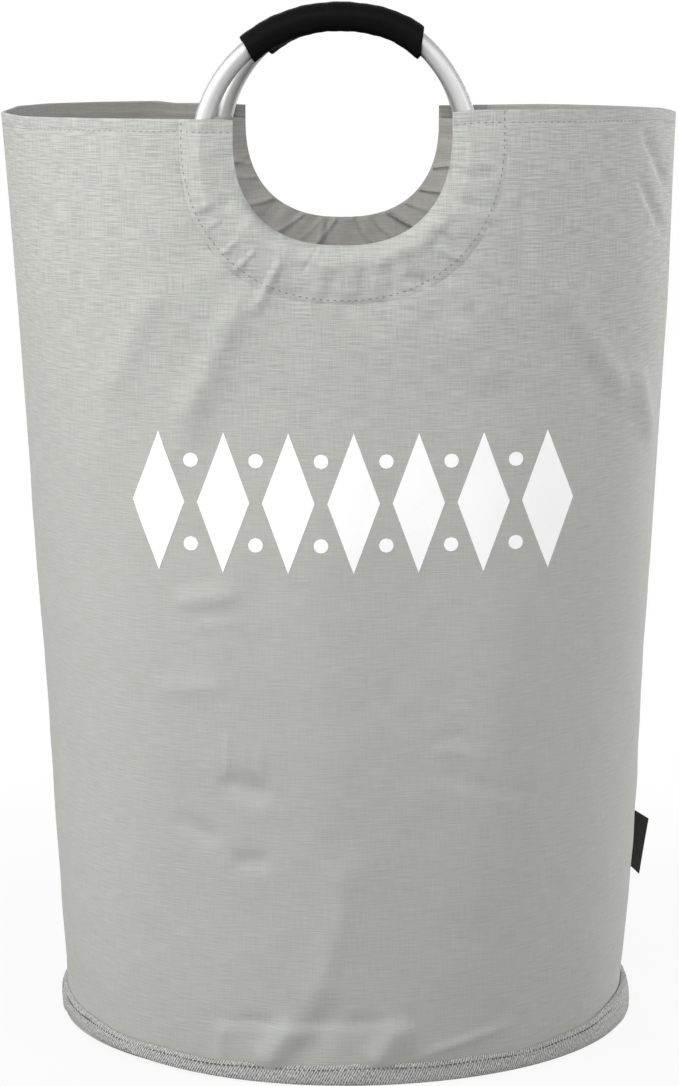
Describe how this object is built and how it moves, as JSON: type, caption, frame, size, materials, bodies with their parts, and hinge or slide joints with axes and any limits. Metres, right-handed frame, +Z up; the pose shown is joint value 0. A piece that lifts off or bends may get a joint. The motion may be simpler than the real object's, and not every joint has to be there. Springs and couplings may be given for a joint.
{
  "type": "laundry hamper",
  "caption": "Freestanding cloth laundry hamper that folds down, round at the base and wider at the mouth, with a metal ring handle and foam grip in a sewn sleeve on each side",
  "frame": {"origin": "middle of the base on the floor", "axes": "+Z up, the printed front faces -Y, +X is to the right of someone who looks at the front"},
  "size_m": [0.448, 0.3936, 0.6823],
  "materials": {
    "cloth": "matt plain weave with fine slubs",
    "lining": "smooth coated cloth",
    "tape": "ribbed woven tape",
    "board": "matt stiff sheet",
    "aluminium": "satin anodised",
    "foam": "closed-cell foam with a skin",
    "label": "woven satin tape"
  },
  "bodies": {
    "base": {"base_cloth": "cloth", "base_board": "board", "base_binding": "tape", "front_wall": "cloth", "back_wall": "cloth", "left_seam_tape": "tape", "right_seam_tape": "tape"},
    "mouth": {"front_top_wall": "cloth", "back_top_wall": "cloth", "left_top_seam_tape": "tape", "right_top_seam_tape": "tape"},
    "label": {"side_label": "label"},
    "front_pocket": {"front_sleeve": "cloth", "front_sleeve_lining": "lining"},
    "front_handle": {"front_ring": "aluminium", "front_ring_plug": "aluminium", "front_grip": "foam"},
    "back_pocket": {"back_sleeve": "cloth", "back_sleeve_lining": "lining"},
    "back_handle": {"back_ring": "aluminium", "back_ring_plug": "aluminium", "back_grip": "foam"}
  },
  "joints": [
    {"name": "fold_down", "type": "slide", "parent": "base", "child": "mouth", "axis": [0, 0, -1], "range_m": [0, 0.4], "deforming": ["front_wall", "back_wall", "left_seam_tape", "right_seam_tape"]},
    {"name": "label_drop", "type": "slide", "parent": "base", "child": "label", "axis": [0, 0, -1], "range_m": [0, 0.078]},
    {"name": "front_tilt", "type": "hinge", "parent": "mouth", "child": "front_pocket", "pos_m": [0, -0.15668, 0.49553], "axis": [1, 0, 0], "range_deg": [-30, 15]},
    {"name": "front_turn", "type": "hinge", "parent": "front_pocket", "child": "front_handle", "pos_m": [-0.0044, -0.14685, 0.58912], "axis": [0, -0.9945, 0.1045], "range_deg": [-30, 28]},
    {"name": "back_tilt", "type": "hinge", "parent": "mouth", "child": "back_pocket", "pos_m": [0, 0.15668, 0.49553], "axis": [-1, 0, 0], "range_deg": [-30, 15]},
    {"name": "back_turn", "type": "hinge", "parent": "back_pocket", "child": "back_handle", "pos_m": [0.0006, 0.14685, 0.58912], "axis": [0, 0.9945, 0.1045], "range_deg": [-28, 31]}
  ],
  "couplings": [
    {"joint": "label_drop", "follows": "fold_down", "ratio": 0.19}
  ]
}
